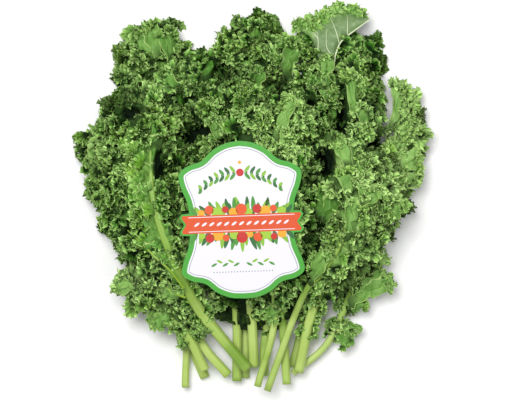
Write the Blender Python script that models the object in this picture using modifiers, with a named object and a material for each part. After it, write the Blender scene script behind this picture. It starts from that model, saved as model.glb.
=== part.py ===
"""A bunch of curly kale as cut and laid flat: fifteen loose leaves fanned over each other in four
layers, with a die-cut card lying on top. Metres, +Z up, +Y from the cut stalks to the leaf tips.
The origin is on the table, under the middle of the bunch."""

from collections import namedtuple
from math import cos, pi, radians, sin

import bmesh
import bpy
from mathutils import Matrix, Vector

MM = 0.001

# Driving dimensions
BLADE_THICKNESS = 0.8 * MM
HEAD_LAYER = 22.2 * MM        # height that one layer of leaves takes in the middle of the bunch
EDGE_LAYER = 12.0 * MM      # height that it takes at the rim of the bunch
NECK_LAYER = 10.6 * MM      # height that it takes where only stalks lie
CUT_LAYER = 9.3 * MM        # height that it takes at the cut ends
CUT_LINE, NECK_LINE = -160 * MM, -125 * MM      # along Y, between the cut ends and the neck
HEAD_FROM, HEAD_FULL = -125 * MM, -58 * MM      # along Y, where the layers spread apart
HEAD_CENTRE = Vector((0, 30 * MM))
HEAD_REACH = Vector((170 * MM, 170 * MM))       # from the head's centre to its rim
STALK_RADIUS = 4.4 * MM     # at the cut end
RIB_END_RADIUS = 1.0 * MM   # of the midrib where it fades out
WAVE_HEIGHT = 7.8 * MM      # of the ruffles at the margin
RIPPLE_HEIGHT = 2.0 * MM    # of the finer ruffles on them
WAVE_CURL = 1.5 * MM        # how far a ruffle's sides close in under its top
MARGIN_DROOP = 2.0 * MM     # how much lower the margin hangs than the midrib
TABLE_DROOP = 7.5 * MM      # the same for the lowest leaves, which the others press on the table
LOBE_DEPTH = 0.09           # of the margin's lobes, as a share of the blade's half width
TABLE_PRESS = 0.35 * MM     # what lies lower than this is pressed flat on the table
CARD_THICKNESS = 0.7 * MM
CARD_CENTRE = Vector((-11, -19.5, 83.45)) * MM       # the card rests on the highest ruffles
CARD_TURN, CARD_TILT = radians(2), radians(3.5)
MIDDLE = Vector((0.2, -4.0, 0)) * MM        # of the whole bunch, in the measure that the leaves use

# How finely the blade's sheet and the stalk are divided
BLADE_STEPS, BLADE_ROWS, MARGIN_CUTS = 10, 6, 3
LEAFLET_STEPS, LEAFLET_ROWS, LEAFLET_CUTS = 4, 4, 1
STALK_STEPS = 14

# path: the midrib in mm, from the cut end to the tip. blade: the share of it where the blade begins.
# full: how far along the blade it is at full width. left and right: its half widths in mm, looking from the
# cut end to the tip.
Leaf = namedtuple("Leaf", "name layer path blade full left right waves phase leaflets")
# share: where on the leaf's path it grows. reach: from there to its tip in mm. half: its half width.
Leaflet = namedtuple("Leaflet", "share reach half")
LEAVES = (
    Leaf("top_left", 0, ((-46, -168), (-63, -124), (-80, -47), (-91, 61), (-90, 163)),
         0.28, 0.4, 47, 42, 7, 0.0, ()),
    Leaf("top_middle", 0, ((-9, -168), (-8, -92), (-2, -2), (0, 84), (-2, 168)),
         0.17, 0.4, 45, 43, 7, 1.0, ()),
    Leaf("upper_right", 0, ((35, -158), (50, -101), (77, -20), (98, 55), (108, 150)),
         0.24, 0.4, 46, 31, 7, 2.0, ()),
    Leaf("left_outer", 1, ((-63, -176), (-62, -119), (-88, -52), (-119, 14), (-131, 72)),
         0.30, 0.55, 34, 28, 6, 0.4, ()),
    Leaf("middle_left", 1, ((-16, -170), (-17, -93), (-29, -20), (-41, 53), (-51, 130)),
         0.17, 0.4, 38, 34, 7, 0.6, ()),
    Leaf("turned_tip", 1, ((9, -165), (12, -119), (36, -29), (58, 64), (77, 162)),
         0.24, 0.4, 35, 35, 7, 1.6, ()),
    Leaf("far_right", 1, ((36, -163), (67, -136), (87, -94), (103, -29), (115, 28), (122, 70), (128, 104)),
         0.35, 0.6, 9, 38, 6, 2.6, (Leaflet(0.3, (44, 30), 7), Leaflet(0.225, (22, 1), 5))),
    Leaf("upper_left", 2, ((-24, -164), (-52, -128), (-74, -65), (-90, -2), (-98, 48), (-98, 96)),
         0.28, 0.4, 46, 32, 7, 0.3, ()),
    Leaf("centre_left", 2, ((0, -156), (-4, -92), (-15, -20), (-25, 43), (-25, 98)),
         0.13, 0.4, 28, 20, 6, 1.3, ()),
    Leaf("centre_right", 2, ((30, -172), (26, -92), (30, -20), (39, 43), (46, 94)),
         0.18, 0.4, 26, 24, 6, 2.3, ()),
    Leaf("right_middle", 2, ((41, -161), (52, -110), (74, -47), (92, 20), (92, 75), (86, 122)),
         0.24, 0.4, 13, 27, 7, 0.9, ()),
    Leaf("left_front", 3, ((-6, -157), (-30, -128), (-52, -99), (-69, -61), (-82, -29), (-90, 2), (-92, 36), (-93, 72)),
         0.36, 0.55, 58, 12, 7, 1.9, (Leaflet(0.2, (-13, -6), 5), Leaflet(0.3, (-14, 2), 6))),
    Leaf("centre_front", 3, ((3, -173), (18, -115), (17, -50), (16, 10), (23, 55), (30, 88)),
         0.25, 0.4, 46, 30, 7, 0.7, ()),
    Leaf("right_front", 3, ((12, -177), (43, -92), (60, -68), (74, -46), (82, -24), (83, -2), (77, 28), (70, 56)),
         0.28, 0.55, 14, 50, 7, 2.9, ()),
    Leaf("lower_left", 3, ((-45, -158), (-62, -125), (-88, -102), (-125, -80)),
         0.30, 0.4, 12, 19, 4, 0.5, ()),
)

# The card's right half from its top to its bottom, in mm from its centre: a rounded plaque with the
# notched end of a ribbon across its waist.
CARD_TOP = ((0, 70), (12, 68), (24, 62), (34, 53), (46, 49), (54, 42), (53, 31), (48, 18), (46, 7))
CARD_RIBBON = ((53, 6.5), (55, 3.5), (51, -3), (55, -9.5), (53, -12.5))
CARD_FOOT = ((46, -13), (48, -24), (53, -37), (54, -47), (46, -53), (34, -56), (24, -64), (12, -69), (0, -70))
CARD_CURVE_STEPS = 3


def smooth(value, start, end):
    """0 before start, 1 after end, and an even slope between."""
    share = min(1, max(0, (value - start) / (end - start)))
    return share * share * (3 - 2 * share)


def layer_height(x, y):
    """How thick one layer of leaves is over this point of the table."""
    off = Vector(((x - HEAD_CENTRE.x) / HEAD_REACH.x, (y - HEAD_CENTRE.y) / HEAD_REACH.y))
    head = HEAD_LAYER + (EDGE_LAYER - HEAD_LAYER) * smooth(off.length, 0.5, 1.05)
    stalks = CUT_LAYER + (NECK_LAYER - CUT_LAYER) * smooth(y, CUT_LINE, NECK_LINE)
    return stalks + (head - stalks) * smooth(y, HEAD_FROM, HEAD_FULL)


def layer_middle(layer, x, y):
    return layer_height(x, y) * (layer + 0.5)


def on_path(points, share):
    """(point, direction) on a smooth curve through the points, at this share of its spans."""
    spans = len(points) - 1
    i = min(int(share * spans), spans - 1)
    t = share * spans - i
    p1, p2 = points[i], points[i + 1]
    p0 = points[i - 1] if i else p1 * 2 - p2
    p3 = points[i + 2] if i + 2 <= spans else p2 * 2 - p1
    a, b, c = (p3 - p0 + (p1 - p2) * 3) / 2, p0 - p1 * 2.5 + p2 * 2 - p3 / 2, (p2 - p0) / 2
    return ((a * t + b) * t + c) * t + p1, ((a * 3 * t + b * 2) * t + c).normalized()


def in_metres(points):
    return [Vector(point) * MM for point in points]


def half_width(leaf, u):
    """The blade's half width along the midrib, as a share of its widest: narrow at its foot, round at its tip."""
    return (0.4 + 0.6 * smooth(u, 0, leaf.full)) * (1 - 0.72 * u**7)


def blade_point(leaf, path, u, v):
    """The point of the blade's sheet at u along the midrib and v across it, from -1 to 1."""
    foot, ahead = on_path(path, leaf.blade + (1 - leaf.blade) * u)
    side = 1 if v < 0 else -1
    reach = abs(v)
    aside = Vector((-ahead.y, ahead.x)) * side
    # The side veins lean towards the tip, more in the blade's middle than at its ends.
    lean = radians(82 - 30 * sin(pi * u**1.5))
    vein = aside * sin(lean) + ahead * cos(lean)
    turn = 2 * pi * leaf.waves * (u + 0.25 * u**4 * (1 - reach)) + leaf.phase + (pi / 2 if side > 0 else 0)
    width = (leaf.left if side > 0 else leaf.right) * MM * half_width(leaf, u)
    width *= 1 + LOBE_DEPTH * sin(1.5 * turn) * reach**3
    narrow = min(1, width / (20 * MM))
    spot = foot + vein * width * reach - ahead * WAVE_CURL * narrow * sin(2 * turn) * reach**2
    room = (layer_height(*spot) / HEAD_LAYER)**0.5
    wave = WAVE_HEIGHT * sin(turn) * reach**1.6 + RIPPLE_HEIGHT * sin(2 * turn + 1) * reach**4
    droop = (MARGIN_DROOP if leaf.layer else TABLE_DROOP) * reach
    height = layer_middle(leaf.layer, *spot) + wave * room * narrow - droop
    return Vector((*spot, max(height, BLADE_THICKNESS / 2)))


def sheet(leaf, path, steps, rows, cuts):
    """The blade as a thin closed sheet: a flat grid, finer along its margin, bent to the leaf's form."""
    bm = bmesh.new()
    bmesh.ops.create_grid(bm, x_segments=steps, y_segments=rows, size=1)
    margin = [e for e in bm.edges if e.is_boundary and not all(v.co.x < -0.99 for v in e.verts)]
    bmesh.ops.bisect_edges(bm, edges=margin, cuts=cuts)
    bmesh.ops.triangulate(bm, faces=bm.faces[:])
    for vert in bm.verts:
        vert.co = blade_point(leaf, path, (vert.co.x + 1) / 2, -vert.co.y)
    mesh = bpy.data.meshes.new(leaf.name + "_sheet")
    bm.to_mesh(mesh)
    bm.free()
    obj = bpy.data.objects.new(mesh.name, mesh)
    thickness = obj.modifiers.new("thickness", "SOLIDIFY")
    thickness.thickness = BLADE_THICKNESS
    thickness.offset = 0
    return obj


def leaflet_sheet(leaf, path, leaflet):
    """A small side leaf that grows from the stalk."""
    root, _ = on_path(path, leaflet.share)
    small = [root, root + Vector(leaflet.reach) * MM * 0.5, root + Vector(leaflet.reach) * MM]
    form = leaf._replace(blade=0.05, full=0.4, left=leaflet.half, right=leaflet.half, waves=2)
    return sheet(form, small, LEAFLET_STEPS, LEAFLET_ROWS, LEAFLET_CUTS)


def stalk_tube(leaf, path):
    """The stalk and midrib as one tapering rod along the leaf's path."""
    curve = bpy.data.curves.new(leaf.name + "_stalk", "CURVE")
    curve.dimensions = "3D"
    curve.bevel_depth = STALK_RADIUS
    curve.bevel_resolution = 2
    curve.use_fill_caps = True
    spline = curve.splines.new("POLY")
    spline.points.add(STALK_STEPS)
    for i, point in enumerate(spline.points):
        share = i / STALK_STEPS * 0.97
        spot, _ = on_path(path, share)
        point.co = (*spot, layer_middle(leaf.layer, *spot), 1)
        fade = smooth(share, leaf.blade * 0.8, 1)
        point.radius = 1 + (RIB_END_RADIUS / STALK_RADIUS - 1) * (0.12 * share + 0.88 * fade)
    return bpy.data.objects.new(curve.name, curve)


def evaluated_mesh(obj, name):
    """The shape that obj shows, as a mesh with its caps welded."""
    mesh = bpy.data.meshes.new_from_object(obj.evaluated_get(bpy.context.evaluated_depsgraph_get()))
    mesh.name = name
    bm = bmesh.new()
    bm.from_mesh(mesh)
    bmesh.ops.remove_doubles(bm, verts=bm.verts[:], dist=0.01 * MM)
    bmesh.ops.recalc_face_normals(bm, faces=bm.faces[:])
    bm.to_mesh(mesh)
    bm.free()
    return mesh


def is_whole(mesh, stalk):
    """Whether the mesh is one closed skin that holds more than the stalk alone."""
    volumes = []
    closed = True
    for part in (mesh, stalk):
        bm = bmesh.new()
        bm.from_mesh(part)
        closed = closed and all(e.is_manifold for e in bm.edges)
        volumes.append(bm.calc_volume())
        bm.free()
    return closed and volumes[0] > volumes[1]


def finish(name, mesh, colour, roughness, collection):
    """An object of this mesh, moved to stand round the origin, with a material of its own."""
    mesh.transform(Matrix.Translation(-MIDDLE))
    material = bpy.data.materials.new(name)
    material.use_nodes = True
    shader = material.node_tree.nodes["Principled BSDF"]
    shader.inputs["Base Color"].default_value = (*colour, 1)
    shader.inputs["Roughness"].default_value = roughness
    mesh.materials.clear()
    mesh.materials.append(material)
    obj = bpy.data.objects.new(name, mesh)
    collection.objects.link(obj)
    return obj


def build_leaf(leaf, bunch, workshop):
    """One leaf as one solid: the stalk with its blade and side leaves joined to it."""
    path = in_metres(leaf.path)
    rod = stalk_tube(leaf, path)
    bunch.objects.link(rod)
    stalk = bpy.data.objects.new("stalk", evaluated_mesh(rod, "stalk"))
    bpy.data.objects.remove(rod)
    bunch.objects.link(stalk)
    sheets = [sheet(leaf, path, BLADE_STEPS, BLADE_ROWS, MARGIN_CUTS)]
    sheets += [leaflet_sheet(leaf, path, leaflet) for leaflet in leaf.leaflets]
    for obj in sheets:
        workshop.objects.link(obj)
    join = stalk.modifiers.new("blade", "BOOLEAN")
    join.operation = "UNION"
    join.operand_type = "COLLECTION"
    join.collection = workshop
    for solver in ("EXACT", "MANIFOLD"):
        join.solver = solver
        mesh = evaluated_mesh(stalk, leaf.name)
        if is_whole(mesh, stalk.data):
            break
    for obj in (*sheets, stalk):
        bpy.data.objects.remove(obj)
    for vert in mesh.vertices:
        if vert.co.z < TABLE_PRESS:
            vert.co.z = 0
    finish("kale_leaf_" + leaf.name, mesh, (0.12, 0.27, 0.05), 0.55, bunch)


def card_outline():
    """The card's outline from its top, down its right side and back up its left."""
    right = []
    for corners in (CARD_TOP, CARD_FOOT):
        points = in_metres(corners)
        steps = (len(points) - 1) * CARD_CURVE_STEPS
        right += [on_path(points, i / steps)[0] for i in range(steps + 1)]
        if corners is CARD_TOP:
            right += in_metres(CARD_RIBBON)
    return right + [Vector((-p.x, p.y)) for p in reversed(right[1:-1])]


def build_card(bunch):
    """The printed card that lies on the leaves."""
    bm = bmesh.new()
    face = bm.faces.new([bm.verts.new((*p, 0)) for p in card_outline()])
    top = bmesh.ops.extrude_face_region(bm, geom=[face])["geom"]
    bmesh.ops.translate(bm, vec=(0, 0, CARD_THICKNESS), verts=[v for v in top if isinstance(v, bmesh.types.BMVert)])
    turn = Matrix.Rotation(CARD_TILT, 4, "X") @ Matrix.Rotation(CARD_TURN, 4, "Z")
    bmesh.ops.transform(bm, matrix=Matrix.Translation(CARD_CENTRE) @ turn, verts=bm.verts[:])
    bmesh.ops.recalc_face_normals(bm, faces=bm.faces[:])
    mesh = bpy.data.meshes.new("label_card")
    bm.to_mesh(mesh)
    bm.free()
    finish("label_card", mesh, (0.9, 0.92, 0.9), 0.35, bunch)


def main():
    for obj in list(bpy.data.objects):
        bpy.data.objects.remove(obj)
    bunch = bpy.data.collections.new("kale bunch")
    workshop = bpy.data.collections.new("blades to join")
    for collection in (bunch, workshop):
        bpy.context.scene.collection.children.link(collection)
    for leaf in LEAVES:
        build_leaf(leaf, bunch, workshop)
    build_card(bunch)


main()
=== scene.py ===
from collections import namedtuple
from math import atan, pi, radians

import bpy
import numpy as np
from mathutils import Matrix, Vector


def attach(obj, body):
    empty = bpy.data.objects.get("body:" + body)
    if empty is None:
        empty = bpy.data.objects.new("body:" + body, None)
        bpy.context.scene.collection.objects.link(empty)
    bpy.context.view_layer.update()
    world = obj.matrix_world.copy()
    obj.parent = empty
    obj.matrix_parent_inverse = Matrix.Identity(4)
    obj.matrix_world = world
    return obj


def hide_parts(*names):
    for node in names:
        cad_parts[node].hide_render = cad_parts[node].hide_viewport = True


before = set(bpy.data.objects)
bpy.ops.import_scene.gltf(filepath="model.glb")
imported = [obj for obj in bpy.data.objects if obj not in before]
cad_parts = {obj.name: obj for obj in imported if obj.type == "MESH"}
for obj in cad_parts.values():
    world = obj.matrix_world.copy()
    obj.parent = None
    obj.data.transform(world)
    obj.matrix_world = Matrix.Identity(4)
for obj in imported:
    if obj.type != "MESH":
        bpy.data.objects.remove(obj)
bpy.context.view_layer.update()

MM = 0.001

# ---- The table, the light and the view -------------------------------------------------------
# The bunch lies on a plain white table under a broad soft light from above and a little to the
# left, seen from straight above.

VIEW_HEIGHT = 1.5
VIEW_SPOT = (0.0016, 0.002)     # the place on the table in the middle of the picture
VIEW_WIDTH = 461 * MM           # what the picture spans at the height of the upper leaves
LEAF_TOP = 60 * MM
TABLE_HALF = 4
ROOM_LIGHT = 0.25


def add(name, data):
    """A new object of the scene."""
    new = bpy.data.objects.new(name, data)
    bpy.context.scene.collection.objects.link(new)
    return new


camera = add("camera", bpy.data.cameras.new("camera"))
bpy.context.scene.camera = camera
camera.location = (*VIEW_SPOT, VIEW_HEIGHT)
camera.data.angle = 2 * atan(VIEW_WIDTH / 2 / (VIEW_HEIGHT - LEAF_TOP))
camera.data.clip_start = 0.01

table_mesh = bpy.data.meshes.new("table")
corners = [(x * TABLE_HALF, y * TABLE_HALF, 0) for x, y in ((-1, -1), (1, -1), (1, 1), (-1, 1))]
table_mesh.from_pydata(corners, [], [(0, 1, 2, 3)])
table = add("table", table_mesh)

world = bpy.data.worlds.new("studio")
world.use_nodes = True
background = world.node_tree.nodes["Background"]
background.inputs["Color"].default_value = (1, 1, 1, 1)
background.inputs["Strength"].default_value = ROOM_LIGHT
bpy.context.scene.world = world
bpy.context.scene.view_settings.view_transform = "Standard"


def soft_light(name, size, power, place):
    """A square lamp that looks at the bunch."""
    lamp = bpy.data.lights.new(name, "AREA")
    lamp.size = size
    lamp.energy = power
    lamp_object = add(name, lamp)
    lamp_object.location = place
    lamp_object.rotation_euler = (-Vector(place)).to_track_quat("-Z", "Y").to_euler()


soft_light("main light", 0.7, 28, (-0.26, 0.36, 1.7))
soft_light("fill light", 1.2, 7, (0.8, -0.4, 1.4))


class Value:
    """A shader socket that can be reckoned with: each sum adds its Math node."""

    def __init__(self, paint, socket):
        self.paint, self.socket = paint, socket

    def __add__(self, other):
        return self.paint.maths("ADD", self, other)

    def __sub__(self, other):
        return self.paint.maths("SUBTRACT", self, other)

    def __rsub__(self, other):
        return self.paint.maths("SUBTRACT", other, self)

    def __mul__(self, other):
        return self.paint.maths("MULTIPLY", self, other)

    def __pow__(self, other):
        return self.paint.maths("POWER", self, other)

    __radd__, __rmul__ = __add__, __mul__


def colour(red, green, blue):
    """A colour from its 0 to 255 screen values."""
    return (*(((c / 255 + 0.055) / 1.055)**2.4 for c in (red, green, blue)), 1)


class Paint:
    """A material in the making."""

    def __init__(self, name, **sockets):
        self.material = bpy.data.materials.new(name)
        self.material.use_nodes = True
        self.tree = self.material.node_tree
        self.shader = self.tree.nodes["Principled BSDF"]
        self.set(**sockets)

    def set(self, **sockets):
        """Sets or links the shader's own sockets, named with _ for each space."""
        for name, value in sockets.items():
            self.fill(self.shader.inputs[name.replace("_", " ")], value)

    def fill(self, socket, value):
        if isinstance(value, Value):
            self.tree.links.new(value.socket, socket)
        else:
            socket.default_value = value

    def node(self, kind, settings, inputs, output=0):
        """Adds a node, sets it up, fills its sockets and returns one of its outputs."""
        node = self.tree.nodes.new(kind)
        for name, value in settings.items():
            setattr(node, name, value)
        for name, value in inputs.items():
            self.fill(node.inputs[name], value)
        return Value(self, node.outputs[output])

    def maths(self, operation, *values):
        return self.node("ShaderNodeMath", {"operation": operation}, dict(enumerate(values)))

    def mix(self, share, first, second):
        """From the first colour to the second by share."""
        return self.node("ShaderNodeMix", {"data_type": "RGBA"}, {0: share, 6: first, 7: second}, 2)

    def tones(self, base, *layers):
        """A colour with others laid over it in turn, each by its share."""
        base = colour(*base)
        for share, tone in layers:
            base = self.mix(share, base, colour(*tone))
        return base

    def masks(self, *names):
        """Numbers that each point of the mesh carries."""
        return [self.node("ShaderNodeAttribute", {"attribute_name": name}, {}, "Fac") for name in names]

    def place(self):
        return self.node("ShaderNodeTexCoord", {}, {}, "Object")

    def noise(self, scale, detail=2):
        inputs = {"Vector": self.place(), "Scale": scale, "Detail": detail}
        return self.node("ShaderNodeTexNoise", {}, inputs)

    def bump(self, strength, depth, height):
        """Roughens the surface by this height, in its finish alone."""
        inputs = {"Strength": strength, "Distance": depth, "Height": height}
        self.set(Normal=self.node("ShaderNodeBump", {}, inputs))


white_table = Paint("white table", Roughness=0.6)
white_table.set(Base_Color=white_table.tones((244, 244, 243),
                                             (white_table.noise(30) * 0.5, (250, 250, 250))))
table_mesh.materials.append(white_table.material)

# ---- The stalks ------------------------------------------------------------------------------
# Each leaf has one stalk, cut straight across with a knife. It is firm, pale green and finely
# ribbed, with a shallow groove on top, and runs on through the blade as its midrib.

# how thick one layer of leaves is: in the head, at its edge, at its neck and at the cut ends
HEAD_LAYER, EDGE_LAYER, NECK_LAYER, CUT_LAYER = 22.2 * MM, 12.0 * MM, 10.6 * MM, 9.3 * MM
CUT_LINE, NECK_LINE = -160 * MM, -125 * MM
HEAD_FROM, HEAD_FULL = -125 * MM, -58 * MM      # where the head begins and where its layers are full
HEAD_CENTRE, HEAD_REACH = np.array((0, 30)) * MM, np.array((170, 170)) * MM
MIDDLE = np.array((0.2, -4.0, 0)) * MM          # of the whole bunch, in the measure that the leaves use
STALK_RADIUS, RIB_END_RADIUS = 4.4 * MM, 1.0 * MM
STALK_THICKNESS = {"far_right": 0.72, "left_outer": 0.75, "left_front": 1.15}   # where they stand out
STALK_STEPS, STALK_SIDES = 70, 20
CUT_RADII, CUT_PALE = (0.02, 0.45, 0.8, 0.97), (1, 1, 1, 0.6)       # of the rings of the cut end
DOME_HEIGHT = 6 * MM        # how far each blade stands up along its midrib

# path: the midrib in mm, from the cut end to the tip. blade: the share of it where the blade begins.
# left and right: its half widths in mm, looking from the cut end to the tip. waves and phase: how
# many its margin has and how they start. pale: how pale it is, and how little painted shade its
# blade and frills get. frill: how large its frills are, in mm. full: how far along the blade it is
# at full width. wing: how much of its stalk has curls.
# bare: what share of its half width, beside the midrib, is free of frills, and from where to where
# along the blade. leaflets: its small side leaves.
Leaf = namedtuple(
    "Leaf", "name layer path blade left right waves phase pale frill full wing bare leaflets",
    defaults=(9, 0.4, 0.7, (0, 0, 0), ()))
# share: where on the leaf's path it grows. reach: from there to its tip in mm. half: its half width.
Leaflet = namedtuple("Leaflet", "share reach half")
LEAVES = (
    Leaf("top_left", 0, ((-46, -168), (-63, -124), (-80, -47), (-91, 61), (-90, 163)),
         0.28, 47, 38, 7, 0.0, 0.33, 10),
    Leaf("top_middle", 0, ((-9, -168), (-8, -92), (-2, -2), (0, 84), (-2, 168)),
         0.17, 42, 43, 7, 1.0, 0.28),
    Leaf("upper_right", 0, ((35, -158), (50, -101), (77, -20), (94, 55), (109, 150)),
         0.24, 46, 21, 7, 2.0, 0.13, 10),
    Leaf("left_outer", 1, ((-64, -176), (-65, -119), (-88, -52), (-119, 14), (-127, 70)),
         0.30, 37, 28, 6, 0.4, 0.3, 10, 0.55, 0.35),
    Leaf("middle_left", 1, ((-16, -170), (-17, -93), (-29, -20), (-41, 53), (-51, 130)),
         0.17, 38, 34, 7, 0.6, 0.28),
    Leaf("turned_tip", 1, ((9, -165), (12, -119), (36, -29), (58, 64), (77, 162)),
         0.24, 35, 35, 7, 1.6, 0.2, 10),
    Leaf("far_right", 1, ((36, -163), (67, -136), (87, -94), (109, -29), (126, 22), (130, 58),
                          (131, 97)),
         0.35, 3, 29, 6, 2.6, 2.1, 9.5, 0.6, 0.7, (0.3, 0, 1.0),
         (Leaflet(0.3, (41, 31), 6), Leaflet(0.225, (17, 2), 4))),
    Leaf("upper_left", 2, ((-24, -164), (-52, -128), (-74, -65), (-90, -2), (-98, 48), (-98, 96)),
         0.28, 46, 32, 7, 0.3, 0.4, 10),
    Leaf("centre_left", 2, ((0, -156), (-4, -92), (-15, -20), (-25, 43), (-25, 98)),
         0.13, 28, 20, 6, 1.3, 0.24),
    Leaf("centre_right", 2, ((30, -172), (26, -92), (30, -20), (39, 43), (46, 94)),
         0.18, 26, 24, 6, 2.3, 0.22),
    Leaf("right_middle", 2, ((41, -161), (52, -110), (74, -47), (92, 20), (92, 75), (86, 122)),
         0.24, 13, 23, 7, 0.9, 0.42, 9.5),
    Leaf("left_front", 3, ((-6, -157), (-30, -128), (-52, -99), (-69, -61), (-82, -29), (-90, 2),
                           (-92, 36), (-93, 72)),
         0.36, 58, 12, 7, 1.9, 0.36, 9, 0.55, 0.7, (0.36, 0, 0.82),
         (Leaflet(0.2, (-13, -6), 5), Leaflet(0.3, (-14, 2), 6))),
    Leaf("centre_front", 3, ((3, -173), (18, -115), (17, -50), (16, 10), (23, 55), (30, 88)),
         0.25, 46, 30, 7, 0.7, 0.35, 9.5),
    Leaf("right_front", 3, ((12, -177), (43, -92), (60, -68), (74, -46), (82, -24), (83, -2), (77, 28),
                            (70, 56)),
         0.28, 14, 50, 7, 2.9, 0.85, 9.5, 0.55, 0.6, (0.25, 0, 0.95)),
    Leaf("lower_left", 3, ((-45, -158), (-62, -125), (-88, -102), (-125, -80)),
         0.30, 8, 18, 4, 0.5, 0.8, 9, 0.4, 0.35),
)


def smooth(value, start, end):
    """0 before start, 1 after end, and an even slope between."""
    share = np.clip((value - start) / (end - start), 0, 1)
    return share * share * (3 - 2 * share)


def layer_middle(layer, spot):
    """The height of the middle of this layer of leaves over these points of the table."""
    off = np.linalg.norm((spot - HEAD_CENTRE) / HEAD_REACH, axis=-1)
    head = HEAD_LAYER + (EDGE_LAYER - HEAD_LAYER) * smooth(off, 0.5, 1.05)
    stalks = CUT_LAYER + (NECK_LAYER - CUT_LAYER) * smooth(spot[..., 1], CUT_LINE, NECK_LINE)
    height = stalks + (head - stalks) * smooth(spot[..., 1], HEAD_FROM, HEAD_FULL)
    return height * (layer + 0.5), (height / HEAD_LAYER)**0.5


def unit(vectors):
    return vectors / np.maximum(np.linalg.norm(vectors, axis=-1, keepdims=True), 1e-12)


def on_path(points, share):
    """(points, directions) on a smooth curve through the points, at these shares of its spans."""
    points = np.array(points) * MM
    spans = len(points) - 1
    ends = np.concatenate(([points[0] * 2 - points[1]], points, [points[-1] * 2 - points[-2]]))
    i = np.minimum((share * spans).astype(int), spans - 1)
    t = (share * spans - i)[..., None]
    p0, p1, p2, p3 = (ends[i + k] for k in range(4))
    a, b, c = (p3 - p0 + (p1 - p2) * 3) / 2, p0 - p1 * 2.5 + p2 * 2 - p3 / 2, (p2 - p0) / 2
    return ((a * t + b) * t + c) * t + p1, unit((a * 3 * t + b * 2) * t + c)


FRILL, STALK, UNDERSIDE, FACE = range(4)    # the finishes of a leaf, in the order of its materials
# What each point carries for its finish, and what that is if it isn't given: how near a frill's
# edge it is, how pale, how far it is a vein, how much painted light it gets (1 fully lit, down to 0
# in the painted shade of folds, hollows and openings), how many mm along, and whether its stalk
# is a thin one. On a stalk, edge marks the cut end, tint is how far along it is and rib is its own
# tone.
MASKS = {"edge": 0, "tint": 0.5, "rib": 0, "open": 1, "along": 0, "thin": 0}


class Skin:
    """The points, faces and carried numbers of one leaf, gathered piece by piece."""

    def __init__(self):
        self.points, self.faces, self.stuff = [], [], []
        self.masks = {name: [] for name in MASKS}
        self.count = 0

    def grid(self, points, stuff, wrap=False, **masks):
        """Adds grids of points, shaped (..., rows, columns, 3), as sheets, or as tubes with wrap."""
        rows, columns = points.shape[-3:-1]
        sheets = points.reshape(-1, rows, columns, 3)
        spans = columns if wrap else columns - 1
        r, c = np.meshgrid(np.arange(rows - 1), np.arange(spans), indexing="ij")
        near, far, after = r * columns, (r + 1) * columns, (c + 1) % columns
        one = np.stack((near + c, near + after, far + after, far + c), -1)
        starts = self.count + np.arange(len(sheets)) * rows * columns
        self.faces.append((one.reshape(1, -1, 4) + starts[:, None, None]).reshape(-1, 4))
        self.stuff.append(np.full(len(sheets) * (rows - 1) * spans, stuff))
        self.points.append(sheets.reshape(-1, 3))
        self.count += len(sheets) * rows * columns
        for name, usual in MASKS.items():
            values = np.broadcast_to(masks.get(name, usual), points.shape[:-1])
            self.masks[name].append(values.reshape(-1))

    def piece(self, name, paints):
        """The whole as one object of the scene."""
        points = np.concatenate(self.points) - MIDDLE
        faces = np.concatenate(self.faces)
        mesh = bpy.data.meshes.new(name)
        mesh.vertices.add(len(points))
        mesh.vertices.foreach_set("co", points.ravel())
        mesh.loops.add(faces.size)
        mesh.loops.foreach_set("vertex_index", faces.ravel())
        mesh.polygons.add(len(faces))
        mesh.polygons.foreach_set("loop_start", np.arange(len(faces)) * 4)
        mesh.polygons.foreach_set("material_index", np.concatenate(self.stuff))
        mesh.update(calc_edges=True)
        mesh.polygons.foreach_set("use_smooth", np.ones(len(faces), bool))
        for mask, values in self.masks.items():
            carried = mesh.attributes.new(mask, "FLOAT", "POINT")
            carried.data.foreach_set("value", np.concatenate(values))
        for paint in paints:
            mesh.materials.append(paint.material)
        mesh.validate()
        return add(name, mesh)


def rod(skin, centres, radii, sides, stuff, groove=0.0, **masks):
    """A tube along a line of points, with a groove on its upper side."""
    ahead = unit(np.gradient(centres, axis=0))
    aside = unit(np.cross(ahead, (0, 0, 1)))
    above = np.cross(aside, ahead)
    turn = np.arange(sides) / sides * 2 * pi
    top = np.maximum(np.sin(turn), 0)**8
    profile = 1 - groove * top + 0.4 * groove * np.cos(5 * turn)
    ring = np.cos(turn)[:, None] * aside[:, None] + np.sin(turn)[:, None] * above[:, None]
    ring *= profile[:, None]
    skin.grid(centres[:, None] + ring * radii[:, None, None], stuff, wrap=True, **masks)


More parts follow.
